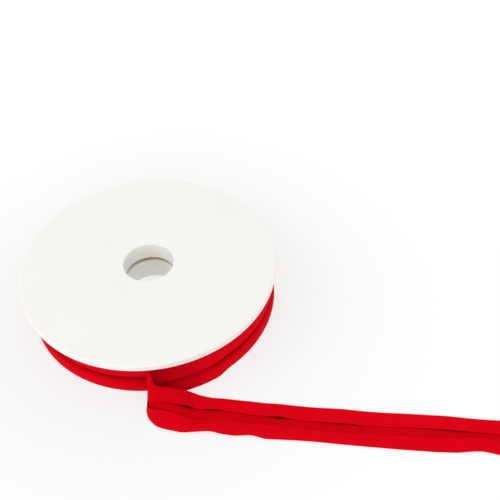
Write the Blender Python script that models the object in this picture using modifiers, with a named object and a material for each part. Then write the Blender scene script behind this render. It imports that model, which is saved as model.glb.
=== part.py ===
"""Reel of folded bias tape: two plastic halves on a card core, the wound tape and its loose end.

Metres, +Z up. The reel lies on one face on the table at z = 0, with its bore on the Z axis. The
loose end stands round the right-hand side, folds back on itself at the front and runs out over
the table. A last step carries every piece, so that the origin is under the middle of the part.
"""

import math
from collections import namedtuple

import bmesh
import bpy
import numpy as np
from mathutils import Vector

# Reel
REEL_WIDTH = 0.0241
FLANGE_RADIUS = 0.0650
FLANGE_THICKNESS = 0.0026
LOWER_FLANGE_RADIUS = 0.0597
RIM_THICKNESS = 0.0037
RIM_LIP_WIDTH = 0.0024
RIM_ROUNDING = 0.0006
BORE_RADIUS = 0.0128
COLLAR_WALL = 0.0018
UPPER_COLLAR_END = 0.0143
LOWER_COLLAR_END = 0.0119
CORE_WALL = 0.0020
TURNED_STEPS = 72
MERGE_DISTANCE = 0.00001

# Tape: a base with a half folded over from each edge, which nearly meet on the wound turns
TAPE_WIDTH = 0.0180
LAYER = 0.0007
LAYER_GAP = 0.0003
FOLDED_THICKNESS = 2 * LAYER + LAYER_GAP
UPPER_LAP = 0.0089
LOWER_LAP = 0.0077
SEAT = 0.0003

# Wound turns
WOUND_RADIUS = 0.0615
SLIPPED_TURNS = 0.0015
VALLEY_DEPTH = 0.0024
VALLEY_HALF_WIDTH = 0.0018
VALLEY_HEIGHT = 0.0084
EDGE_DROP = 0.0007
EDGE_HALF_WIDTH = 0.0013
FACE_POINTS = 17

# Loose turn, by the angle round the reel in degrees, from +X towards +Y. It spreads a little from
# the roll by the middle of its run, and its foot flares before the fold.
LOOSE_START = 75.0
LOOSE_MIDDLE = 2.5
LOOSE_END = -70.0
LOOSE_STEP = 5.0
LOOSE_RADIUS = WOUND_RADIUS + SEAT + FOLDED_THICKNESS
LOOSE_SPREAD = 0.0005
FOOT_FLARE = 0.0015
FOOT_FLARE_START = -50.0
FOOT_FLARE_END = -60.0

# Fold and tail. The far edge is the one that stood uppermost on the reel, the near edge the one
# that stood on the table; each lap is how far the half folded over from that edge reaches in.
Section = namedtuple("Section", "far_x far_y far_z near_x near_y near_z far_lap near_lap")

FOLD_BACK = (
    Section(0.0145, -0.0619, 0.0179, 0.0150, -0.0642, 0.0000, 0.0089, 0.0077),
    Section(0.0096, -0.0623, 0.0179, 0.0099, -0.0663, 0.0000, 0.0090, 0.0077),
    Section(0.0064, -0.0625, 0.0177, 0.0064, -0.0682, 0.0000, 0.0098, 0.0076),
    Section(0.0045, -0.0625, 0.0174, 0.0042, -0.0698, 0.0000, 0.0110, 0.0066),
    Section(0.0037, -0.0627, 0.0170, 0.0026, -0.0715, 0.0000, 0.0124, 0.0054),
    Section(0.0044, -0.0630, 0.0165, 0.0022, -0.0732, 0.0000, 0.0132, 0.0048),
    Section(0.0049, -0.0642, 0.0155, 0.0026, -0.0753, 0.0000, 0.0123, 0.0046),
    Section(0.0054, -0.0659, 0.0136, 0.0037, -0.0778, 0.0000, 0.0098, 0.0056),
    Section(0.0069, -0.0669, 0.0116, 0.0059, -0.0805, 0.0000, 0.0074, 0.0072),
    Section(0.0109, -0.0664, 0.0095, 0.0091, -0.0823, 0.0000, 0.0067, 0.0080),
    Section(0.0150, -0.0661, 0.0075, 0.0128, -0.0834, 0.0000, 0.0069, 0.0078),
    Section(0.0204, -0.0661, 0.0049, 0.0182, -0.0843, 0.0000, 0.0074, 0.0072),
    Section(0.0259, -0.0672, 0.0026, 0.0240, -0.0848, 0.0008, 0.0072, 0.0054),
    Section(0.0315, -0.0681, 0.0012, 0.0310, -0.0852, 0.0010, 0.0065, 0.0062),
)

TAIL = (
    Section(0.0370, -0.0684, 0.0006, 0.0360, -0.0864, 0.0000, 0.0061, 0.0072),
    Section(0.0430, -0.0692, 0.0002, 0.0420, -0.0871, 0.0003, 0.0064, 0.0070),
    Section(0.0510, -0.0703, 0.0000, 0.0500, -0.0877, 0.0010, 0.0072, 0.0062),
    Section(0.0570, -0.0711, 0.0000, 0.0560, -0.0892, 0.0000, 0.0069, 0.0070),
    Section(0.0625, -0.0718, 0.0000, 0.0615, -0.0899, 0.0000, 0.0070, 0.0067),
    Section(0.0685, -0.0726, 0.0000, 0.0673, -0.0907, 0.0001, 0.0072, 0.0064),
    Section(0.0780, -0.0740, 0.0000, 0.0765, -0.0917, 0.0005, 0.0074, 0.0059),
    Section(0.0920, -0.0758, 0.0000, 0.0905, -0.0935, 0.0002, 0.0077, 0.0058),
    Section(0.1040, -0.0773, 0.0000, 0.1020, -0.0954, 0.0000, 0.0074, 0.0063),
    Section(0.1240, -0.0798, 0.0000, 0.1220, -0.0978, 0.0003, 0.0070, 0.0068),
    Section(0.1420, -0.0821, 0.0000, 0.1400, -0.0998, 0.0000, 0.0072, 0.0072),
    Section(0.1510, -0.0834, 0.0000, 0.1495, -0.1006, 0.0010, 0.0071, 0.0069),
    Section(0.1640, -0.0851, 0.0000, 0.1620, -0.1028, 0.0000, 0.0072, 0.0068),
    Section(0.1780, -0.0868, 0.0000, 0.1758, -0.1045, 0.0000, 0.0074, 0.0066),
)

ROW_SPACING = 0.0003
SECTION_TURN = 7.0
SECTION_RUN = 0.0040


def clear_scene():
    for item in list(bpy.data.objects):
        bpy.data.objects.remove(item, do_unlink=True)


def make_collection(name):
    collection = bpy.data.collections.new(name)
    bpy.context.scene.collection.children.link(collection)
    return collection


def make_material(name, colour, roughness):
    material = bpy.data.materials.new(name)
    material.use_nodes = True
    shader = material.node_tree.nodes["Principled BSDF"]
    shader.inputs["Base Color"].default_value = (*colour, 1.0)
    shader.inputs["Roughness"].default_value = roughness
    shader.inputs["Metallic"].default_value = 0.0
    return material


def add_object(name, mesh, material, collection):
    piece = bpy.data.objects.new(name, mesh)
    mesh.materials.append(material)
    collection.objects.link(piece)
    return piece


def rounded_outline(corners, arc_steps=3):
    """Corners (radius, height, rounding) of a closed profile, with an arc at each rounded one."""
    outline = []
    for index, (radius, height, rounding) in enumerate(corners):
        corner = Vector((radius, height))
        if rounding == 0.0:
            outline.append(corner)
            continue
        before = Vector(corners[index - 1][:2]) - corner
        after = Vector(corners[(index + 1) % len(corners)][:2]) - corner
        start = corner + before.normalized() * rounding
        end = corner + after.normalized() * rounding
        for step in range(arc_steps + 1):
            share = step / arc_steps
            outline.append(start.lerp(corner, share).lerp(corner.lerp(end, share), share))
    return outline


def turned_piece(name, outline, material, collection):
    """A ring turned about the Z axis from a closed outline that runs down its outer side."""
    mesh = bpy.data.meshes.new(name)
    points = [(radius, 0.0, height) for radius, height in outline]
    edges = [(index, (index + 1) % len(points)) for index in range(len(points))]
    mesh.from_pydata(points, edges, [])
    piece = add_object(name, mesh, material, collection)
    screw = piece.modifiers.new("turned", "SCREW")
    screw.axis = "Z"
    screw.angle = math.tau
    screw.steps = TURNED_STEPS
    screw.render_steps = TURNED_STEPS
    screw.use_merge_vertices = True
    screw.merge_threshold = MERGE_DISTANCE
    screw.use_smooth_shade = True
    return piece


def make_flange_top(material, collection):
    """The upper half: a disc with a lip round its rim, whose short collar reaches into the core."""
    under = REEL_WIDTH - FLANGE_THICKNESS
    lip = REEL_WIDTH - RIM_THICKNESS
    collar = BORE_RADIUS + COLLAR_WALL
    corners = (
        (FLANGE_RADIUS, REEL_WIDTH, RIM_ROUNDING),
        (FLANGE_RADIUS, lip, RIM_ROUNDING),
        (FLANGE_RADIUS - RIM_LIP_WIDTH, lip, RIM_ROUNDING / 2),
        (FLANGE_RADIUS - RIM_LIP_WIDTH, under, 0.0),
        (collar, under, 0.0),
        (collar, UPPER_COLLAR_END, 0.0),
        (BORE_RADIUS, UPPER_COLLAR_END, 0.0),
        (BORE_RADIUS, REEL_WIDTH, RIM_ROUNDING / 2),
    )
    return turned_piece("flange_top", rounded_outline(corners), material, collection)


def make_flange_bottom(material, collection):
    """The lower half: a smaller disc, inside the slipped turns, with its collar upwards."""
    collar = BORE_RADIUS + COLLAR_WALL
    corners = (
        (LOWER_FLANGE_RADIUS, FLANGE_THICKNESS, RIM_ROUNDING),
        (LOWER_FLANGE_RADIUS, 0.0, RIM_ROUNDING / 2),
        (BORE_RADIUS, 0.0, RIM_ROUNDING / 2),
        (BORE_RADIUS, LOWER_COLLAR_END, 0.0),
        (collar, LOWER_COLLAR_END, 0.0),
        (collar, FLANGE_THICKNESS, 0.0),
    )
    return turned_piece("flange_bottom", rounded_outline(corners), material, collection)


def make_core_tube(material, collection):
    """The card tube on both collars, between the two discs."""
    inner = BORE_RADIUS + COLLAR_WALL + SEAT
    low = FLANGE_THICKNESS + SEAT
    high = REEL_WIDTH - FLANGE_THICKNESS - SEAT
    outline = ((inner + CORE_WALL, high), (inner + CORE_WALL, low), (inner, low), (inner, high))
    return turned_piece("core_tube", outline, material, collection)


def wound_face(height):
    """Radius of the outermost turn: two soft ridges, with a valley where the folds meet."""
    valley = VALLEY_DEPTH * math.exp(-(((height - VALLEY_HEIGHT) / VALLEY_HALF_WIDTH) ** 2))
    from_edge = min(height, TAPE_WIDTH - height)
    edge = EDGE_DROP * math.exp(-((from_edge / EDGE_HALF_WIDTH) ** 2))
    return WOUND_RADIUS - valley - edge


def make_wound_tape(material, collection):
    """All the wound turns; the outermost have slipped down past the lower disc to the table."""
    inner = BORE_RADIUS + COLLAR_WALL + CORE_WALL + 2 * SEAT
    slipped = WOUND_RADIUS - SLIPPED_TURNS
    seated = FLANGE_THICKNESS + SEAT
    heights = [TAPE_WIDTH * (1 - step / (FACE_POINTS - 1)) for step in range(FACE_POINTS)]
    outline = [(slipped, seated + TAPE_WIDTH), (slipped, TAPE_WIDTH)]
    outline += [(wound_face(height), height) for height in heights]
    outline += [(slipped, 0.0), (slipped, seated), (inner, seated), (inner, seated + TAPE_WIDTH)]
    return turned_piece("wound_tape", outline, material, collection)


def eased(value, start, end):
    """0 before start, 1 after end, and a smooth rise between them."""
    share = min(max((value - start) / (end - start), 0.0), 1.0)
    return share * share * (3 - 2 * share)


def loose_turn():
    """Sections of the turn that stands off the roll, from behind the reel round to the front."""
    count = round((LOOSE_START - LOOSE_END) / LOOSE_STEP)
    rows = []
    for step in range(count + 1):
        degrees = LOOSE_START - step * LOOSE_STEP
        spread = LOOSE_SPREAD * eased(degrees, LOOSE_START, LOOSE_MIDDLE)
        flare = FOOT_FLARE * eased(degrees, FOOT_FLARE_START, FOOT_FLARE_END)
        outward = Vector((math.cos(math.radians(degrees)), math.sin(math.radians(degrees))))
        far = outward * (LOOSE_RADIUS + spread / 2)
        near = outward * (LOOSE_RADIUS + spread + flare)
        row = (far.x, far.y, TAPE_WIDTH, near.x, near.y, 0.0, UPPER_LAP, LOWER_LAP)
        rows.append(Section(*row))
    return rows


def smooth_rows(rows, spacing):
    """Rows a given spacing apart on the smooth curve that passes through all of them."""
    values = np.array(rows, dtype=float)
    middle = (values[:, :3] + values[:, 3:6]) / 2
    steps = np.linalg.norm(np.diff(middle, axis=0), axis=1)
    along = np.concatenate([[0.0], np.cumsum(steps)])
    slopes = np.gradient(values, along, axis=0)
    smooth = [values[0]]
    for index, length in enumerate(steps):
        count = max(1, round(length / spacing))
        for step in range(1, count + 1):
            t = step / count
            start, end = values[index], values[index + 1]
            rise, fall = slopes[index] * length, slopes[index + 1] * length
            smooth.append(
                (2 * t**3 - 3 * t**2 + 1) * start
                + (t**3 - 2 * t**2 + t) * rise
                + (3 * t**2 - 2 * t**3) * end
                + (t**3 - t**2) * fall
            )
    return [Section(*row) for row in smooth]


def folded_section(width, far_lap, near_lap):
    """Outline of the folded tape: a base with a half folded over from each edge, a little apart.

    Points are (across, up) from the middle of the base's plain side, in a closed loop.
    """
    fold = FOLDED_THICKNESS / 2
    straight = width / 2 - fold
    over = FOLDED_THICKNESS - LAYER
    diagonal = fold * math.sqrt(0.5)
    halves = []
    for lap in (near_lap, far_lap):
        cut_edge = width / 2 - lap
        halves.append([
            (cut_edge, 0.0),
            (straight, 0.0),
            (straight + diagonal, fold - diagonal),
            (width / 2, fold),
            (straight + diagonal, fold + diagonal),
            (straight, FOLDED_THICKNESS),
            (cut_edge, FOLDED_THICKNESS),
            (cut_edge, over),
            (straight, over),
            (straight + LAYER_GAP / 2, fold),
            (straight, LAYER),
            (cut_edge, LAYER),
        ])
    near_half, far_half = halves
    return near_half + [(-across, up) for across, up in reversed(far_half)]


def cut_end(ring):
    """Faces that close a cut end: the base between the folds, and each fold with its half."""
    last = len(ring) - 1
    half = ((0, 1, 10, 11), (10, 1, 2, 9), (9, 2, 3, 4), (9, 4, 5, 8), (8, 5, 6, 7))
    other_half = [tuple(last - index for index in reversed(cell)) for cell in half]
    base = (last, 0, 11, 12)
    return [tuple(ring[index] for index in cell) for cell in (base, *half, *other_half)]


def side_faces(ring, following, outline):
    """The skin between two sections, in triangles that slant alike on every layer."""
    faces = []
    for index in range(len(ring)):
        a, b = index - 1, index
        if outline[b][0] < outline[a][0]:
            faces.append((ring[a], ring[b], following[a]))
            faces.append((ring[b], following[b], following[a]))
        else:
            faces.append((ring[a], ring[b], following[b]))
            faces.append((ring[a], following[b], following[a]))
    return faces


def tape_frames(rows):
    """Middle, width direction, facing direction and width of the tape at every row."""
    far = np.array([(row.far_x, row.far_y, row.far_z) for row in rows])
    near = np.array([(row.near_x, row.near_y, row.near_z) for row in rows])
    middle = (far + near) / 2
    width = np.linalg.norm(near - far, axis=1)
    across = (near - far) / width[:, None]
    up = np.cross(across, np.gradient(middle, axis=0))
    up /= np.linalg.norm(up, axis=1)[:, None]
    return middle, across, up, width


def tape_solid(name, rows, material, collection):
    """A loft of folded sections, each lying across the line from its far edge to its near edge.

    A row is skipped where the tape has neither turned nor run on since the last one, and a
    section whose folds would reach under the table is lifted onto it.
    """
    middle, across, up, width = tape_frames(rows)
    turn = math.cos(math.radians(SECTION_TURN))
    shell = bmesh.new()
    rings = []
    last = None
    for index, row in enumerate(rows):
        if last is not None and index < len(rows) - 1:
            run = np.linalg.norm(middle[index] - middle[last])
            turned = min(up[index] @ up[last], across[index] @ across[last])
            if run < SECTION_RUN and turned > turn:
                continue
        last = index
        outline = np.array(folded_section(width[index], row.far_lap, row.near_lap))
        ring = middle[index] + outline[:, :1] * across[index] + outline[:, 1:] * up[index]
        ring[:, 2] += max(0.0, -ring[:, 2].min())
        rings.append([shell.verts.new(point) for point in ring])
    faces = cut_end(rings[0]) + cut_end(rings[-1])
    for ring, following in zip(rings, rings[1:]):
        faces += side_faces(ring, following, outline)
    for face in faces:
        shell.faces.new(face)
    bmesh.ops.recalc_face_normals(shell, faces=shell.faces[:])
    mesh = bpy.data.meshes.new(name)
    shell.to_mesh(mesh)
    shell.free()
    mesh.shade_smooth()
    return add_object(name, mesh, material, collection)


def make_loose_end(material, collection):
    """The outermost turn, its fold back and the tail on the table, in one length of tape."""
    rows = smooth_rows(loose_turn() + list(FOLD_BACK) + list(TAIL), ROW_SPACING)
    return tape_solid("loose_end", rows, material, collection)


def centre_on_origin(pieces, collection):
    """Carries the pieces by an empty, so that the part's footprint is centred on the origin."""
    bpy.context.view_layer.update()
    depsgraph = bpy.context.evaluated_depsgraph_get()
    corners = []
    for piece in pieces:
        mesh = piece.evaluated_get(depsgraph).data
        corners += [vertex.co for vertex in mesh.vertices]
    corners = np.array(corners)
    middle = (corners.min(axis=0) + corners.max(axis=0)) / 2
    carrier = bpy.data.objects.new("part_origin", None)
    collection.objects.link(carrier)
    for piece in pieces:
        piece.parent = carrier
    carrier.location = (-middle[0], -middle[1], 0.0)


def main():
    clear_scene()
    collection = make_collection("bias_tape_reel")
    plastic = make_material("white_plastic", (0.90, 0.90, 0.88), 0.35)
    card = make_material("brown_card", (0.30, 0.21, 0.10), 0.85)
    cloth = make_material("red_tape", (0.66, 0.004, 0.012), 0.75)
    pieces = [
        make_flange_top(plastic, collection),
        make_flange_bottom(plastic.copy(), collection),
        make_core_tube(card, collection),
        make_wound_tape(cloth, collection),
        make_loose_end(cloth.copy(), collection),
    ]
    centre_on_origin(pieces, collection)


main()
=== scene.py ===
"""A reel of red folded bias tape, lying on its side with its loose end run out over the table.

The sections follow the reel as it is put together: the table it lies on, the two moulded halves,
the card core, the wound turns and the loose end. Sizes are real ones, in metres.
"""

import math
from collections import namedtuple

import bmesh
import bpy
import numpy as np
from mathutils import Matrix, Vector


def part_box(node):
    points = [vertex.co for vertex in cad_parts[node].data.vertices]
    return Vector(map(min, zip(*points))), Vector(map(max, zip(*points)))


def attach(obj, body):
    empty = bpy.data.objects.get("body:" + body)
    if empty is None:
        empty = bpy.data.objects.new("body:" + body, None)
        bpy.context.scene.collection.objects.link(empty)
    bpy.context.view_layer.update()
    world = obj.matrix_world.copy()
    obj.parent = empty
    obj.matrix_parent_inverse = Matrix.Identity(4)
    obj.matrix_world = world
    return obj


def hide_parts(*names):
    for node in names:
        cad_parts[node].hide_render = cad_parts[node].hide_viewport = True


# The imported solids. The reel lies on its lower face with its bore upright, so the middle of the
# upper disc's box is the reel's axis. Sizes that a solid's box gives are read from it.
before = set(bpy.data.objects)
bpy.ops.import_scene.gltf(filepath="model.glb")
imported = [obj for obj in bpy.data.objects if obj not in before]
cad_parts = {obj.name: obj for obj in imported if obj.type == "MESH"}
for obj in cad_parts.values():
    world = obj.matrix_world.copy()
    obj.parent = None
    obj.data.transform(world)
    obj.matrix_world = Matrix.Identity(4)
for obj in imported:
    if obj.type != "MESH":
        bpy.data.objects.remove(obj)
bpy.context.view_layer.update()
MM = 0.001
disc_low, disc_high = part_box("flange_top")
axis = Vector(((disc_low.x + disc_high.x) / 2, (disc_low.y + disc_high.y) / 2, 0.0))


# The table: a white acrylic top that is lit from below, so that shadows on it stay pale, in an
# evenly lit tent of white cloth. Two lamps outside brighten the left wall and the front of the
# tent. The camera looks down on the front of the reel at half a right angle.
class Value:
    """One output of a node. Arithmetic on it adds Math nodes to its tree."""

    def __init__(self, nodes, socket):
        self.nodes = nodes
        self.socket = socket

    def __getitem__(self, name):
        return Value(self.nodes, self.socket.node.outputs[name])

    def math(self, operation, *others):
        return self.nodes.maths(operation, self, *others)

    def __add__(self, other):
        return self.math("ADD", other)

    def __sub__(self, other):
        return self.math("SUBTRACT", other)

    def __rsub__(self, other):
        return self.nodes.maths("SUBTRACT", other, self)

    def __mul__(self, other):
        return self.math("MULTIPLY", other)

    def __truediv__(self, other):
        return self.math("DIVIDE", other)

    def __rtruediv__(self, other):
        return self.nodes.maths("DIVIDE", other, self)

    def __pow__(self, other):
        return self.math("POWER", other)

    def __rpow__(self, other):
        return self.nodes.maths("POWER", other, self)

    __radd__ = __add__
    __rmul__ = __mul__


class Nodes:
    """A node tree under construction, of a material or of a geometry modifier."""

    def __init__(self, tree):
        self.tree = tree

    def add(self, kind, settings=None, inputs=None):
        """Adds a node: its settings first, then the values or links of its inputs."""
        node = self.tree.nodes.new(kind)
        for name, value in (settings or {}).items():
            setattr(node, name, value)
        for key, value in (inputs or {}).items():
            if isinstance(value, Value):
                self.tree.links.new(value.socket, node.inputs[key])
            else:
                node.inputs[key].default_value = value
        return Value(self, node.outputs[0]) if node.outputs else node

    def maths(self, operation, *values):
        return self.add("ShaderNodeMath", {"operation": operation}, dict(enumerate(values)))


class Finish(Nodes):
    """A material: a Principled shader whose sockets are set one by one."""

    def __init__(self, name, **constants):
        self.material = bpy.data.materials.new(name)
        self.material.use_nodes = True
        super().__init__(self.material.node_tree)
        self.shader = self.tree.nodes["Principled BSDF"]
        for socket, value in constants.items():
            self.set(socket.replace("_", " "), value)

    def set(self, socket, value):
        if isinstance(value, Value):
            self.tree.links.new(value.socket, self.shader.inputs[socket])
        else:
            self.shader.inputs[socket].default_value = value

    def place(self, centre=(0.0, 0.0, 0.0)):
        """The point on the piece, measured from a centre."""
        point = self.add("ShaderNodeTexCoord")["Object"]
        shift = tuple(-c for c in centre)
        return self.add("ShaderNodeMapping", None, {"Vector": point, "Location": shift})

    def grain(self, point, scale, detail=3.0):
        """Noise from 0 to 1 about its middle."""
        inputs = {"Vector": point, "Scale": scale, "Detail": detail}
        return self.add("ShaderNodeTexNoise", None, inputs)

    def blend(self, share, first, second):
        """One colour at 0 and another at 1."""
        settings = {"data_type": "RGBA"}
        mixed = self.add("ShaderNodeMix", settings, {0: share, 6: first, 7: second})
        return Value(self, mixed.socket.node.outputs[2])

    def relief(self, height, distance):
        """Raises the surface by distance where height is 1."""
        inputs = {"Height": height, "Distance": distance, "Strength": 1.0}
        self.set("Normal", self.add("ShaderNodeBump", None, inputs))


acrylic = Finish("white_acrylic", Roughness=0.6, Specular_IOR_Level=0.1)
spot = acrylic.place()
cloud = acrylic.grain(spot, 6.0)
acrylic.set("Base Color", acrylic.blend(cloud, (0.17, 0.17, 0.17, 1), (0.19, 0.19, 0.19, 1)))

# Round the reel the top glows a little less: a painted shadow of the reel.
painted_shadow_reach = 80 * MM
painted_shadow_fade = 200 * MM
from_reel = acrylic.add("ShaderNodeVectorMath", {"operation": "LENGTH"},
                        {0: acrylic.place(axis)})["Value"]
out_of_painted_shadow = ((from_reel - painted_shadow_reach) / painted_shadow_fade).math("MAXIMUM", 0.0).math("MINIMUM", 1.0)
acrylic.set("Emission Color", acrylic.blend(out_of_painted_shadow, (0.85, 0.85, 0.85, 1), (1, 1, 1, 1)))
acrylic.set("Emission Strength", 0.87)
acrylic.relief(acrylic.grain(spot, 900.0), 0.01 * MM)

table_reach = 3.0
table_sink = 0.1 * MM
bpy.ops.mesh.primitive_circle_add(vertices=96, radius=table_reach, fill_type="NGON")
table = bpy.context.object
table.name = "table_top"
table.data.transform(Matrix.Translation((axis.x, axis.y, -table_sink)))
table.data.materials.append(acrylic.material)

tent = bpy.data.worlds.new("white_tent")
tent.use_nodes = True
tent.node_tree.nodes["Background"].inputs["Color"].default_value = (1.0, 1.0, 1.0, 1.0)
tent.node_tree.nodes["Background"].inputs["Strength"].default_value = 1.0
bpy.context.scene.world = tent
bpy.context.scene.view_settings.view_transform = "Standard"


def soft_lamp(name, place, strength, spread):
    """A lamp behind the cloth of the tent, which lights a patch this many degrees across."""
    lamp = bpy.data.lights.new(name, "SUN")
    lamp.energy = strength
    lamp.angle = math.radians(spread)
    holder = bpy.data.objects.new(name, lamp)
    bpy.context.scene.collection.objects.link(holder)
    holder.location = axis + Vector(place)
    holder.rotation_euler = Vector(place).to_track_quat("Z", "Y").to_euler()


soft_lamp("left_lamp", (-0.98, -0.17, 0.84), 0.6, 30)
soft_lamp("front_lamp", (-0.14, -0.98, 0.17), 0.4, 40)

camera_place = axis + Vector((51.9, -269.5, 304.5)) * MM
camera_pitch = 45.49
camera_roll = -1.99
focal_pixels = 763.1
frame_pixels = 500
camera = bpy.data.objects.new("camera", bpy.data.cameras.new("camera"))
bpy.context.scene.collection.objects.link(camera)
camera.location = camera_place
tip = Matrix.Rotation(math.radians(90 - camera_pitch), 3, "X")
lean = Matrix.Rotation(math.radians(camera_roll), 3, "Z")
camera.rotation_euler = (tip @ lean).to_euler()
camera.data.lens = camera.data.sensor_width * focal_pixels / frame_pixels
camera.data.clip_start = 0.01
bpy.context.scene.camera = camera


# The two halves of the reel: injection-moulded white plastic, each a thin disc with a collar
# round its bore. The collars push into the card core from both ends and stop short of each other.
lower_low, lower_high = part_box("flange_bottom")
reel_width = disc_high.z
reel_radius = (disc_high.x - disc_low.x) / 2
lower_radius = (lower_high.x - lower_low.x) / 2
disc_thickness = 2.6 * MM
rim_thickness = 3.7 * MM
rim_lip = 2.4 * MM
bore_radius = 12.8 * MM
collar_wall = 1.8 * MM
collar_radius = bore_radius + collar_wall
rim_rounding = 0.7 * MM
bore_rounding = 0.45 * MM
collar_rounding = 0.3 * MM
lip_draft = 0.3 * MM
collar_root_width = 0.4 * MM
collar_root_height = 0.5 * MM
turned_steps = 180
merge_distance = 0.001 * MM
sharp_plastic = math.radians(40)


def rounded(corners, arc_steps=5):
    """The outline through corners (radius, height, rounding), with an arc at each rounded one."""
    outline = []
    for index, (radius, height, rounding) in enumerate(corners):
        corner = Vector((radius, height))
        before = Vector(corners[index - 1][:2]) - corner
        after = Vector(corners[(index + 1) % len(corners)][:2]) - corner
        start = corner + before.normalized() * rounding
        end = corner + after.normalized() * rounding
        for step in range(arc_steps + 1 if rounding else 1):
            share = step / arc_steps
            outline.append(start.lerp(corner, share).lerp(corner.lerp(end, share), share))
    return outline


def turned(name, outline, finish):
    """A ring turned about the reel's axis from a closed outline."""
    shell = bmesh.new()
    ring = [shell.verts.new((radius, 0.0, height)) for radius, height in outline]
    edges = [shell.edges.new((ring[i - 1], ring[i])) for i in range(len(ring))]
    bmesh.ops.spin(shell, geom=ring + edges, axis=(0, 0, 1), cent=(0, 0, 0),
                   angle=math.tau, steps=turned_steps, use_duplicate=False)
    bmesh.ops.remove_doubles(shell, verts=shell.verts[:], dist=merge_distance)
    bmesh.ops.recalc_face_normals(shell, faces=shell.faces[:])
    bmesh.ops.translate(shell, verts=shell.verts[:], vec=axis)
    mesh = bpy.data.meshes.new(name)
    shell.to_mesh(mesh)
    shell.free()
    mesh.shade_smooth()
    mesh.set_sharp_from_angle(angle=sharp_plastic)
    mesh.materials.append(finish.material)
    piece = bpy.data.objects.new(name, mesh)
    bpy.context.scene.collection.objects.link(piece)
    return piece


plastic = Finish("white_moulded_plastic", Specular_IOR_Level=0.45, IOR=1.49)
spot = plastic.place(axis)
across = plastic.add("ShaderNodeSeparateXYZ", None, {"Vector": spot})
radius = (across["X"] * across["X"] + across["Y"] * across["Y"]) ** 0.5
flow = plastic.grain(spot, 38.0, 4.0)
peel = plastic.grain(spot, 1500.0, 2.0)
ring_spacing = 0.45 * MM
tool_rings = (radius * (math.tau / ring_spacing)).math("SINE") * 0.5 + 0.5
scuffs_lie = {"Vector": spot, "Scale": (60.0, 900.0, 60.0), "Rotation": (0.0, 0.0, 0.6)}
stretched = plastic.add("ShaderNodeMapping", None, scuffs_lie)
scuffs = (plastic.grain(stretched, 1.0, 2.0) - 0.66).math("MAXIMUM", 0.0) * 4.0
tone = plastic.blend(flow, (0.785, 0.780, 0.745, 1), (0.815, 0.810, 0.778, 1))
plastic.set("Base Color", plastic.blend(scuffs * 0.35, tone, (0.80, 0.80, 0.79, 1)))
plastic.set("Roughness", 0.30 + flow * 0.12 + scuffs * 0.3)
plastic.relief(peel * 0.5 + tool_rings * 0.12 + flow * 0.6, 0.02 * MM)

upper_collar_end = disc_low.z
upper_under = reel_width - disc_thickness
upper_half = turned("upper_half", rounded((
    (reel_radius, reel_width, rim_rounding),
    (reel_radius, reel_width - rim_thickness, rim_rounding),
    (reel_radius - rim_lip, reel_width - rim_thickness, collar_rounding),
    (reel_radius - rim_lip - lip_draft, upper_under, collar_rounding),
    (collar_radius + collar_root_width, upper_under, collar_rounding),
    (collar_radius, upper_under - collar_root_height, collar_rounding),
    (collar_radius, upper_collar_end, collar_rounding),
    (bore_radius, upper_collar_end, collar_rounding),
    (bore_radius, reel_width, bore_rounding),
)), plastic)
lower_half = turned("lower_half", rounded((
    (lower_radius, disc_thickness, rim_rounding),
    (lower_radius, 0.0, rim_rounding),
    (bore_radius, 0.0, bore_rounding),
    (bore_radius, lower_high.z, collar_rounding),
    (collar_radius, lower_high.z, collar_rounding),
    (collar_radius, disc_thickness + collar_root_height, collar_rounding),
    (collar_radius + collar_root_width, disc_thickness, collar_rounding),
)), plastic)
for half, node in ((upper_half, "flange_top"), (lower_half, "flange_bottom")):
    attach(half, "root")
    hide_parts(node)


# The core: a tube of brown card, wound from strips on a slant and glued, pushed over both
# collars. It shows as a dark line inside the bore, where the two collars don't meet.
core_low, core_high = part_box("core_tube")
core_wall = 2.0 * MM
cut_rounding = 0.3 * MM
core_radius = (core_high.x - core_low.x) / 2
card = Finish("brown_card", Roughness=0.9, Specular_IOR_Level=0.15)
spot = card.place(axis)
across = card.add("ShaderNodeSeparateXYZ", None, {"Vector": spot})
bearing = across["Y"].math("ARCTAN2", across["X"]) / math.tau
strip_pitch = 11.0 * MM
seam_sharpness = 40.0
seam = ((bearing + across["Z"] / strip_pitch).math("FRACT") - 0.5).math("ABSOLUTE")
seam_line = (1.0 - seam * seam_sharpness).math("MAXIMUM", 0.0)
fibre = card.grain(card.add("ShaderNodeMapping", None, {"Vector": spot, "Scale": (1, 1, 5)}), 700.0)
tone = card.blend(fibre, (0.58, 0.37, 0.11, 1), (0.82, 0.58, 0.22, 1))
card.set("Base Color", card.blend(seam_line * 0.7, tone, (0.30, 0.18, 0.05, 1)))
card.relief(fibre - seam_line, 0.08 * MM)
core = turned("card_core", rounded((
    (core_radius, core_high.z, cut_rounding),
    (core_radius, core_low.z, cut_rounding),
    (core_radius - core_wall, core_low.z, cut_rounding),
    (core_radius - core_wall, core_high.z, cut_rounding),
)), card)
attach(core, "root")
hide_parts("core_tube")


# The wound turns: about 25 m of bias tape, a strip of red cotton cut at half a right angle to its
# threads, with both edges pressed over to meet on its back. It is wound with the plain side out.
# The outermost turns have slipped down past the lower disc and stand on the table.
roll_low, roll_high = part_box("wound_tape")
seat_height = 2.9 * MM
tape_width = roll_high.z - (roll_low.z + seat_height)
roll_radius = (roll_high.x - roll_low.x) / 2
turn_pitch = 0.41 * MM
outer_turns = 14
steps_round = 96
section_points = 56
slipped_turns = 3.6
leaves_degrees = 75
leaves_at = math.radians(leaves_degrees)
outer_radius = roll_radius + turn_pitch
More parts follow.
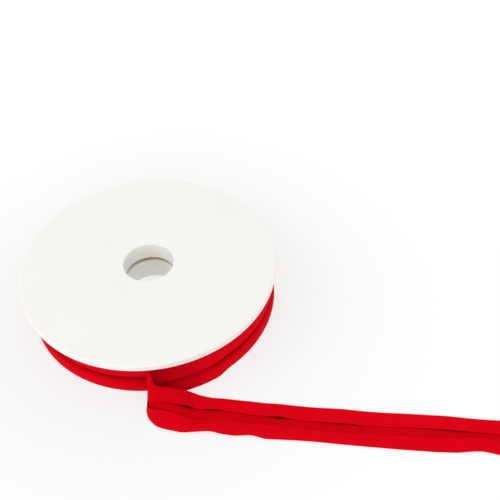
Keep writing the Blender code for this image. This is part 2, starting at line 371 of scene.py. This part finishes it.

# Between the pressed edges the tape sinks in a wide valley with a sharp crease at its bottom, a
# little below the middle and at one height on all the turns. The edges of each turn are rounded
# off, and the foot of the outermost one stands out. Shade is painted into the colour over most of
# the valley.
valley_depth = 1.0 * MM
valley_half = 2.4 * MM
crease_depth = 2.2 * MM
crease_half = 1.05 * MM
valley_shift = 0.6 * MM
edge_drop = 0.25 * MM
edge_half = 1.5 * MM
splay = 0.6 * MM
painted_shade_width = 0.75
sharp_cloth = math.radians(60)


def woven_tape(name):
    """Red cotton, whose threads run at half a right angle to the tape's edges."""
    cloth = Finish(name, Specular_IOR_Level=0.02, Sheen_Weight=0.06, Sheen_Roughness=0.5)
    cloth.set("Sheen Tint", (1.0, 0.01, 0.06, 1.0))
    thread = 0.36 * MM
    on_cloth = cloth.add("ShaderNodeUVMap", {"uv_map": "UVMap"})
    along = cloth.add("ShaderNodeSeparateXYZ", None, {"Vector": on_cloth})
    turn = math.sqrt(0.5) * math.pi / thread
    warp = ((along["X"] + along["Y"]) * turn).math("SINE")
    weft = ((along["X"] - along["Y"]) * turn).math("SINE")
    over = warp * weft * 0.5
    weave = (warp.math("ABSOLUTE") * 0.5 + over).math("MAXIMUM", weft.math("ABSOLUTE") * 0.5 - over)

    def slubs(stretch):
        """The thick places in the threads that run one way."""
        slant = {"Vector": on_cloth, "Rotation": (0.0, 0.0, math.pi / 4), "Scale": stretch}
        return cloth.grain(cloth.add("ShaderNodeMapping", None, slant), 260.0)

    slub_warp = slubs((1, 9, 1))
    slub_weft = slubs((9, 1, 1))
    dye = cloth.grain(on_cloth, 45.0, 3.0)
    shade = weave * 0.35 + slub_warp * 0.3 + slub_weft * 0.3 + dye * 0.45 - 0.2
    face = cloth.blend(shade, (0.55, 0.0002, 0.0045, 1), (0.75, 0.0005, 0.0100, 1))
    back = cloth.add("ShaderNodeAttribute", {"attribute_name": "back"})["Fac"]
    plain = cloth.blend(back, face, (0.56, 0.0003, 0.004, 1))
    # The mark read here paints shade into the colour: over the valley, inside the bend and under
    # the cut edges of the halves. The darkest red is the deepest painted shade.
    painted_shade = cloth.add("ShaderNodeAttribute", {"attribute_name": "painted_shade"})["Fac"]
    deepest_painted_shade = 0.65
    cloth.set("Base Color", cloth.blend(painted_shade * deepest_painted_shade, plain, (0.17, 0.0001, 0.0014, 1)))
    cloth.set("Roughness", 0.86 - weave * 0.12)
    cloth.relief(weave + slub_warp * 0.5 + slub_weft * 0.5, 0.07 * MM)
    return cloth


red_cotton = woven_tape("red_cotton_tape")


def wound_turns_tree(material):
    """A tube laid out as a flat folded section that winds inwards round the reel's axis."""
    tree = bpy.data.node_groups.new("wound_turns", "GeometryNodeTree")
    face = tree.interface
    names = ("Outer Radius", "Turn Pitch", "Turns", "Tape Width", "Slipped Turns", "Seat Height",
             "Start Angle", "Valley Depth", "Valley Half Width", "Crease Depth",
             "Crease Half Width", "Edge Drop", "Edge Half Width", "Valley Shift", "Splay")
    for name in names:
        face.new_socket(name, in_out="INPUT", socket_type="NodeSocketFloat")
    for name in ("Steps", "Section Points", "Seed"):
        face.new_socket(name, in_out="INPUT", socket_type="NodeSocketInt")
    face.new_socket("Geometry", in_out="OUTPUT", socket_type="NodeSocketGeometry")
    build = Nodes(tree)
    given = build.add("NodeGroupInput")
    width = given["Tape Width"]

    # How fast the start of the tape, the seated turns and the splayed foot come and go, per turn.
    start_rate, seat_rate, splay_rate = 6.0, 5.0, 10.0
    splayed_turns = 0.75
    # How the points of the section gather, how square it is, and how far the cloth fills a turn.
    gather, squareness, fill = 0.6, 0.3, 0.46
    # How much wider the valley is on the seated turns, and how far each turn strays from its place.
    seated_widening, depth_stray, radius_stray, height_stray = 0.6, 1.6, 0.4, 0.35 * MM
    tube = build.add("GeometryNodeMeshCylinder", None, {
        "Vertices": given["Section Points"], "Side Segments": given["Steps"],
        "Radius": 1.0, "Depth": 1.0})
    point = build.add("ShaderNodeSeparateXYZ", None, {0: build.add("GeometryNodeInputPosition")})
    inwards = 0.5 - point["Z"]
    turns = inwards * given["Turns"]
    away = (turns * start_rate).math("MINIMUM", 1.0)
    bearing = turns * math.tau + given["Start Angle"]
    share = 1.0 - point["X"].math("ARCCOSINE") / math.pi
    height = (share - (share * (4 * math.pi)).math("SINE") * (gather / (4 * math.pi))) * width
    from_middle = height - width / 2
    from_edge = width / 2 - from_middle.math("ABSOLUTE")

    def dip(distance, half_width, depth, steepness=2.0):
        """A trough across the section."""
        ratio = (distance / half_width).math("ABSOLUTE")
        return (ratio ** steepness * -1.0).math("EXPONENT") * depth

    slip = (turns - given["Slipped Turns"]) * seat_rate
    seated = slip.math("SMOOTH_MIN", 1.0, 0.3).math("MAXIMUM", 0.0)
    from_valley = ((from_middle + given["Valley Shift"] + seated * given["Seat Height"])
                   / (seated * seated_widening + 1.0))
    side = point["Y"].math("SIGN") * point["Y"].math("ABSOLUTE") ** squareness
    thickness = given["Turn Pitch"] * fill
    waves = build.add("ShaderNodeCombineXYZ", None, {
        0: bearing.math("COSINE"), 1: bearing.math("SINE"), 2: turns})
    uneven = (build.add("ShaderNodeTexNoise", {"noise_dimensions": "4D"}, {
        "Vector": waves, "W": given["Seed"], "Scale": 1.7, "Detail": 1.0}) - 0.5) * away
    slack = uneven * depth_stray + 1.0
    # Painted shade over most of the valley, stored for the colour of the cloth.
    painted_shade = dip(from_valley, given["Valley Half Width"] * painted_shade_width, 1.0)
    troughs = (dip(from_valley, given["Valley Half Width"], given["Valley Depth"])
               + dip(from_valley, given["Crease Half Width"], given["Crease Depth"], 4.0)) * slack
    splayed = ((splayed_turns - turns) * splay_rate).math("MINIMUM", 1.0).math("MAXIMUM", 0.0)
    outermost = splayed * away
    radius = (given["Outer Radius"] - given["Turn Pitch"] * (turns + 0.5) - troughs
              + dip(height, given["Edge Half Width"] * 2.0, given["Splay"]) * outermost
              - dip(from_edge, given["Edge Half Width"], given["Edge Drop"])
              + side * thickness + uneven * given["Turn Pitch"] * radius_stray)
    lifted = height + seated * given["Seat Height"] + (uneven + away * 0.5) * height_stray
    placed = build.add("ShaderNodeCombineXYZ", None, {
        0: radius * bearing.math("COSINE"), 1: radius * bearing.math("SINE"), 2: lifted})
    on_cloth = build.add("ShaderNodeCombineXYZ", None, {
        0: bearing * given["Outer Radius"] * -1.0, 1: from_middle * -1.0, 2: 0.0})
    marked = build.add("GeometryNodeStoreNamedAttribute",
                       {"data_type": "FLOAT2", "domain": "CORNER"},
                       {"Geometry": tube, "Name": "UVMap", "Value": on_cloth})
    shaded = build.add("GeometryNodeStoreNamedAttribute", {"data_type": "FLOAT", "domain": "POINT"},
                       {"Geometry": marked, "Name": "painted_shade", "Value": painted_shade})
    wound = build.add("GeometryNodeSetPosition", None, {"Geometry": shaded, "Position": placed})
    smooth = build.add("GeometryNodeSetShadeSmooth", None, {"Geometry": wound})
    single = build.add("GeometryNodeRealizeInstances", None, {"Geometry": smooth})
    done = build.add("GeometryNodeSetMaterial", None, {"Geometry": single, "Material": material})
    build.add("NodeGroupOutput", None, {"Geometry": done})
    return tree


def face_outwards(mesh):
    """Turns every face of a closed mesh outwards."""
    shell = bmesh.new()
    shell.from_mesh(mesh)
    bmesh.ops.recalc_face_normals(shell, faces=shell.faces[:])
    shell.to_mesh(mesh)
    shell.free()


def grown(name, tree, sizes):
    """The plain mesh that a geometry tree makes with these named sizes, carried to the axis."""
    carrier = bpy.data.objects.new(name, bpy.data.meshes.new(name))
    bpy.context.scene.collection.objects.link(carrier)
    modifier = carrier.modifiers.new("grown", "NODES")
    modifier.node_group = tree
    for item in tree.interface.items_tree:
        if item.in_out == "INPUT":
            modifier[item.identifier] = sizes[item.name]
    ready = carrier.evaluated_get(bpy.context.evaluated_depsgraph_get())
    mesh = bpy.data.meshes.new_from_object(ready)
    carrier.modifiers.remove(modifier)
    carrier.data = mesh
    mesh.name = name
    mesh.transform(Matrix.Translation(axis))
    return carrier


wound = grown("wound_turns", wound_turns_tree(red_cotton.material), {
    "Outer Radius": outer_radius, "Turn Pitch": turn_pitch, "Turns": float(outer_turns),
    "Tape Width": tape_width, "Slipped Turns": slipped_turns, "Seat Height": seat_height,
    "Start Angle": leaves_at, "Valley Depth": valley_depth, "Valley Half Width": valley_half,
    "Crease Depth": crease_depth, "Crease Half Width": crease_half, "Valley Shift": valley_shift,
    "Edge Drop": edge_drop, "Edge Half Width": edge_half, "Splay": splay,
    "Steps": outer_turns * steps_round, "Section Points": section_points, "Seed": 4})
face_outwards(wound.data)
wound.data.set_sharp_from_angle(angle=sharp_cloth)

tape_on_core = 0.3 * MM
turn_rounding = 0.3 * MM
inner_radius = core_radius + tape_on_core
body_radius = roll_radius - turn_pitch * outer_turns - valley_depth
inner_turns = turned("inner_turns", rounded((
    (body_radius, seat_height + tape_width, turn_rounding),
    (body_radius, seat_height, turn_rounding),
    (inner_radius, seat_height, turn_rounding),
    (inner_radius, seat_height + tape_width, turn_rounding),
)), red_cotton)
for piece in (wound, inner_turns):
    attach(piece, "root")
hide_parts("wound_tape")


# The loose end: the outermost turn of the same tape. It springs off the roll, folds back on
# itself at the front and runs out over the table with its open side up, where the two pressed
# halves stand a little apart and show the back of the cloth between them.
cloth_thickness = 0.3 * MM
stand_off = 1.6 * MM
spread = 0.5 * MM
foot_flare = 1.5 * MM

# Bearings on the loose turn, in degrees: where it stands clear of the roll, where its foot flares,
# where its valley flattens, where the shade of the fold is painted onto it, and where the fold
# begins; then how much of the valley flattens, and how deep that painted shade is.
clear_at = 22
flare_span = (-50, -59)
flattening_span = (-54, -68)
shading_span = (-60, -71)
fold_begins = -71
bearing_step = 2
flattening = 0.55
fold_shade = 0.45

# In millimetres, as the list below: how far each half reaches in on the loose turn, from its upper
# and its lower edge, and how far apart the rows of the mesh are.
upper_lap = 8.9
lower_lap = 7.7
row_spacing = 0.8

Section = namedtuple("Section", "far_x far_y far_z near_x near_y near_z far_lap near_lap "
                                "far_lift near_lift puff sink droop shade dullness")

# Millimetres from the reel's axis: the edge that stood uppermost, the edge that stood on the
# table, how far each half reaches in, how far its cut edge stands up, how full the tape is, how
# far the whole tape sinks inwards between its halves, how far its edges bend inwards, and how much
# shade is painted into the colour of the plain side and of the halves.
FOLD_AND_TAIL = (
    Section(14.5, -61.9, 17.9, 15.0, -64.2, 0.0, 8.9, 7.7, 0.0, 0.0, 1.0, 0.4, 0.0, 0.6, 0.0),
    Section(9.6, -62.3, 17.9, 9.9, -66.3, 0.0, 9.0, 7.7, 0.1, 0.0, 0.9, 0.3, 0.0, 0.8, 0.0),
    Section(6.4, -62.5, 17.7, 6.4, -68.2, 0.0, 9.8, 7.6, 0.2, 0.0, 0.8, 0.2, 0.0, 1.0, 0.0),
    Section(4.5, -62.5, 17.4, 4.2, -69.8, 0.0, 11.0, 6.6, 0.2, 0.1, 0.8, 0.1, 0.0, 1.0, 0.0),
    Section(3.7, -62.7, 17.0, 2.6, -71.5, 0.0, 12.4, 5.4, 0.3, 0.2, 0.7, 0.05, 0.0, 0.8, 0.0),
    Section(4.4, -63.0, 16.5, 2.2, -73.2, 0.0, 13.2, 4.8, 0.3, 0.3, 0.7, 0.0, 0.0, 0.4, 0.0),
    Section(4.9, -64.2, 15.5, 2.6, -75.3, 0.0, 12.3, 4.6, 0.3, 0.5, 0.7, 0.0, 0.0, 0.0, 0.05),
    Section(5.4, -65.9, 13.6, 3.7, -77.8, 0.0, 9.8, 5.6, 0.2, 0.6, 0.8, 0.0, 0.0, 0.0, 0.1),
    Section(6.9, -66.9, 11.6, 5.9, -80.5, 0.0, 7.4, 7.2, 0.2, 0.6, 0.8, 0.0, 0.0, 0.0, 0.12),
    Section(10.9, -66.4, 9.5, 9.1, -82.3, 0.0, 6.7, 8.0, 0.2, 0.5, 0.9, 0.0, 0.0, 0.0, 0.12),
    Section(15.0, -66.1, 7.5, 12.8, -83.4, 0.0, 6.9, 7.8, 0.5, 0.4, 1.0, 0.0, 0.0, 0.0, 0.1),
    Section(20.4, -66.1, 4.9, 18.2, -84.8, 0.0, 7.4, 7.2, 2.2, 0.3, 1.0, 0.0, 0.0, 0.0, 0.08),
    Section(25.9, -67.2, 2.6, 24.0, -85.3, 0.8, 7.2, 5.4, 0.3, 0.2, 1.0, 0.0, 0.0, 0.0, 0.05),
    Section(31.5, -68.1, 1.2, 31.0, -85.5, 1.0, 6.5, 6.2, 1.0, 0.1, 1.0, 0.0, 0.0, 0.0, 0.0),
    Section(37.0, -68.4, 0.6, 36.0, -86.4, 0.0, 6.1, 7.2, 0.2, 0.0, 1.0, 0.0, 0.0, 0.0, 0.0),
    Section(43.0, -69.2, 0.2, 42.0, -87.7, 0.3, 6.4, 7.0, 0.1, 0.0, 1.0, 0.0, 0.0, 0.0, 0.0),
    Section(51.0, -70.4, 0.0, 50.0, -88.4, 1.0, 7.2, 6.2, 0.2, 0.0, 1.0, 0.0, 0.0, 0.0, 0.0),
    Section(57.0, -71.4, 0.0, 56.0, -89.8, 0.0, 6.9, 7.0, 0.3, 0.0, 1.0, 0.0, 0.0, 0.0, 0.0),
    Section(62.5, -72.0, 0.0, 61.5, -90.3, 0.0, 7.3, 6.7, 1.5, 0.0, 1.0, 0.0, 0.0, 0.0, 0.0),
    Section(68.5, -73.0, 0.0, 67.3, -90.9, 0.1, 7.2, 6.4, 0.2, 0.0, 1.0, 0.0, 0.0, 0.0, 0.0),
    Section(78.0, -74.5, 0.0, 76.5, -92.2, 0.5, 7.4, 5.9, 0.1, 0.0, 1.0, 0.0, 0.0, 0.0, 0.0),
    Section(92.0, -76.0, 0.0, 90.5, -94.1, 0.2, 7.7, 5.8, 0.6, 0.0, 1.0, 0.0, 0.0, 0.0, 0.0),
    Section(104.0, -77.9, 0.0, 102.0, -95.6, 0.0, 7.4, 6.3, 0.1, 0.0, 1.0, 0.0, 0.0, 0.0, 0.0),
    Section(124.0, -80.0, 0.0, 122.0, -98.4, 0.3, 7.0, 6.8, 0.1, 0.0, 1.0, 0.0, 0.0, 0.0, 0.0),
    Section(142.0, -82.1, 0.0, 140.0, -99.9, 0.0, 7.2, 7.2, 0.6, 0.0, 1.0, 0.0, 0.0, 0.0, 0.0),
    Section(151.0, -83.6, 0.0, 149.5, -100.3, 1.1, 7.1, 6.9, 0.2, 0.0, 1.0, 0.0, 0.0, 0.0, 0.0),
    Section(164.0, -85.1, 0.0, 162.0, -102.8, 0.0, 7.2, 6.8, 0.1, 0.0, 1.0, 0.0, 0.0, 0.0, 0.0),
    Section(178.0, -86.8, 0.0, 175.8, -104.5, 0.0, 7.4, 6.6, 0.1, 0.0, 1.0, 0.0, 0.0, 0.0, 0.0),
)


def eased(value, start, end):
    """0 before start, 1 after end, and a smooth rise between them."""
    share = min(max((value - start) / (end - start), 0.0), 1.0)
    return share * share * (3 - 2 * share)


def loose_turn():
    """The turn that stands round the roll, from where it leaves it to where it folds back."""
    rows = []
    for degrees in range(leaves_degrees, fold_begins - 1, -bearing_step):
        off = eased(degrees, leaves_degrees, clear_at)
        flare = foot_flare * eased(degrees, *flare_span)
        far = outer_radius + (stand_off + spread / 2) * off
        near = outer_radius + (stand_off + spread) * off + flare
        c, s = math.cos(math.radians(degrees)) / MM, math.sin(math.radians(degrees)) / MM
        rows.append(Section(
            far_x=far * c, far_y=far * s, far_z=tape_width / MM,
            near_x=near * c, near_y=near * s, near_z=0.0,
            far_lap=upper_lap, near_lap=lower_lap, far_lift=0.0, near_lift=0.0,
            puff=off, sink=1.0 - flattening * eased(degrees, *flattening_span),
            droop=1.0 - off, shade=fold_shade * eased(degrees, *shading_span), dullness=0.0))
    return rows


def smooth_rows(rows, spacing):
    """Rows a given spacing apart on the smooth curve that passes through all of them."""
    values = np.array(rows, dtype=float)
    middle = (values[:, :3] + values[:, 3:6]) / 2
    steps = np.linalg.norm(np.diff(middle, axis=0), axis=1)
    slopes = np.gradient(values, np.concatenate([[0.0], np.cumsum(steps)]), axis=0)
    smooth = [values[0]]
    for index, length in enumerate(steps):
        count = max(1, round(length / spacing))
        for step in range(1, count + 1):
            t = step / count
            start, end = values[index], values[index + 1]
            rise, fall = slopes[index] * length, slopes[index + 1] * length
            smooth.append((2 * t**3 - 3 * t**2 + 1) * start + (t**3 - 2 * t**2 + t) * rise
                          + (3 * t**2 - 2 * t**3) * end + (t**3 - t**2) * fall)
    return np.array(smooth)


# Points on each half, round each fold and across the base.
half_points, fold_points, base_points = 12, 6, 37

# Across the section, in millimetres: the bend of an empty fold and what fullness adds to it, how
# high a full half bulges, the gap under a flat one, and the curve by which its cut edge rises.
fold_bend, full_fold, bulge, lap_gap = 0.02, 0.24, 0.38, 0.05
bulge_reach, lift_curve, base_gather = 1.3, 2.2, 0.7

# Inside the tape: how far the painted shade under a half reaches past its cut edge as that rises,
# over what distance it fades, how deep it is there and on the half itself, and how far light gets
# in at the cut end.
shade_past_edge, shade_fade, base_shade, lap_shade = 0.35, 0.4, 1.45, 0.4
lit_at_end = 9.0


def section_line(width, row):
    """Middle line of the cloth across the tape, from one cut edge round to the other.

    Each point is (across from the middle, up from the plain side, way along the cloth), in
    millimetres, with the painted shade of the plain side and of the inside there.
    """
    thick = cloth_thickness / MM
    radius = thick / 2 + fold_bend + full_fold * row.puff
    flat = width / 2 - radius
    parts = []
    for sign, lap, lift in ((-1, row.far_lap, row.far_lift), (1, row.near_lap, row.near_lift)):
        share = np.linspace(1, 0, half_points)
        rise = np.sin(math.pi * np.minimum(share * bulge_reach, 1.0)) * (1 - share)
        rest = (thick + lap_gap - 2 * radius) * share**2 + lift * share**lift_curve
        over = np.stack([sign * (flat - share * (lap - radius)),
                         thick / 2 + 2 * radius + bulge * row.puff * rise + rest], axis=1)
        turn = np.linspace(math.pi / 2, -math.pi / 2, fold_points + 2)[1:-1]
        fold = np.stack([sign * (flat + radius * np.cos(turn)),
                         thick / 2 + radius + radius * np.sin(turn)], axis=1)
        parts.append(np.concatenate([over, fold]))
    even = np.linspace(-1, 1, base_points)
    gathered = even - base_gather / (2 * math.pi) * np.sin(2 * math.pi * even)
    base = np.stack([gathered * flat, np.full(base_points, thick / 2)], axis=1)
    line = np.concatenate([parts[0], base, parts[1][::-1]])
    steps = np.linalg.norm(np.diff(line, axis=0), axis=1)
    way = np.concatenate([[0.0], np.cumsum(steps)])
    middle = line[:, 0] - (row.far_lap - row.near_lap) / 2
    edge = width / 2 - np.abs(line[:, 0])
    for distance, half_width, depth, steepness in (
            (middle, valley_half, valley_depth * row.sink, 2),
            (middle, crease_half, crease_depth * row.sink, 4),
            (edge, edge_half, edge_drop * row.droop, 2)):
        line[:, 1] += depth / MM * np.exp(-np.abs(distance * MM / half_width) ** steepness)
    # Painted shade on the plain side: over the valley, and in the bend where the row gives it.
    in_valley = np.exp(-(middle * MM / (valley_half * painted_shade_width)) ** 2)
    outside = np.minimum(row.sink * in_valley + row.shade, 1.0)
    far_cover = row.far_lap - radius - flat - line[:, 0] + shade_past_edge * row.far_lift
    near_cover = row.near_lap - radius - flat + line[:, 0] + shade_past_edge * row.near_lift
    inside = np.clip(np.maximum(far_cover, near_cover) / shade_fade, 0.0, 1.0) * base_shade
    # On the halves, the plain side gets the painted shade given for them in the row, and the inside
    # gets a fixed painted shade.
    laps = np.ones(len(line), dtype=bool)
    laps[len(parts[0]):-len(parts[1])] = False
    outside[laps] = row.dullness
    inside[laps] = lap_shade
    return np.column_stack([line, way - way[-1] / 2, outside, inside])


def skins(line):
    """The back and the face of the cloth, half its thickness to either side of its middle line."""
    along = np.gradient(line[:, :2], axis=0)
    along /= np.linalg.norm(along, axis=1)[:, None]
    normal = np.stack([-along[:, 1], along[:, 0]], axis=1) * cloth_thickness / MM / 2
    return line[:, :2] + normal, line[:, :2] - normal


def tape_mesh(name, rows, start_way, finish):
    """The folded cloth, lofted through its sections, with the way along and across it as UVs."""
    far, near = rows[:, :3], rows[:, 3:6]
    middle = (far + near) / 2
    width = np.linalg.norm(near - far, axis=1)
    across = (near - far) / width[:, None]
    up = np.cross(across, np.gradient(middle, axis=0))
    up /= np.linalg.norm(up, axis=1)[:, None]
    run = np.concatenate([[0.0], np.cumsum(np.linalg.norm(np.diff(middle, axis=0), axis=1))])
    points, uvs, backs, painted_shades = [], [], [], []
    for index, values in enumerate(rows):
        row = Section(*values)
        line = section_line(width[index], row)
        back, face = skins(line)
        outline = np.concatenate([back, face[::-1]])
        way = np.concatenate([line[:, 2], line[::-1, 2]])
        ring = middle[index] + outline[:, :1] * across[index] + outline[:, 1:] * up[index]
        ring[:, 2] += max(0.0, -ring[:, 2].min())
        points.append(ring * MM + np.array(axis))
        uvs.append(np.column_stack([np.full(len(way), run[index]), way]) * MM + (start_way, 0.0))
        backs.append(np.repeat([1.0, 0.0], len(line)))
        lit = min((run[-1] - run[index]) / lit_at_end, 1.0)
        painted_shades.append(np.concatenate([line[:, 4] * lit, line[::-1, 3]]))
    around = len(points[0])
    quads = []
    for ring in range(len(points) - 1):
        for index in range(around):
            following = (index + 1) % around
            quads.append((ring * around + index, ring * around + following,
                          (ring + 1) * around + following, (ring + 1) * around + index))
    last = (len(points) - 1) * around
    for index in range(around // 2 - 1):
        cap = (index, around - 1 - index, around - 2 - index, index + 1)
        quads.append(cap)
        quads.append(tuple(last + corner for corner in reversed(cap)))
    mesh = bpy.data.meshes.new(name)
    mesh.from_pydata(np.concatenate(points), [], quads)
    layer = mesh.uv_layers.new(name="UVMap")
    flat_uvs = np.concatenate(uvs)
    corners = np.zeros(len(mesh.loops), dtype=np.int32)
    mesh.loops.foreach_get("vertex_index", corners)
    layer.data.foreach_set("uv", flat_uvs[corners].ravel())
    for mark, marks in (("back", backs), ("painted_shade", painted_shades)):
        mesh.attributes.new(mark, "FLOAT", "POINT").data.foreach_set("value", np.concatenate(marks))
    face_outwards(mesh)
    mesh.shade_smooth()
    mesh.set_sharp_from_angle(angle=sharp_cloth)
    mesh.materials.append(finish.material)
    piece = bpy.data.objects.new(name, mesh)
    bpy.context.scene.collection.objects.link(piece)
    return piece, run[-1] * MM


rows = smooth_rows(loose_turn() + list(FOLD_AND_TAIL), row_spacing)
loose, loose_length = tape_mesh("loose_end_of_tape", rows, -leaves_at * outer_radius, red_cotton)
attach(loose, "root")
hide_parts("loose_end")
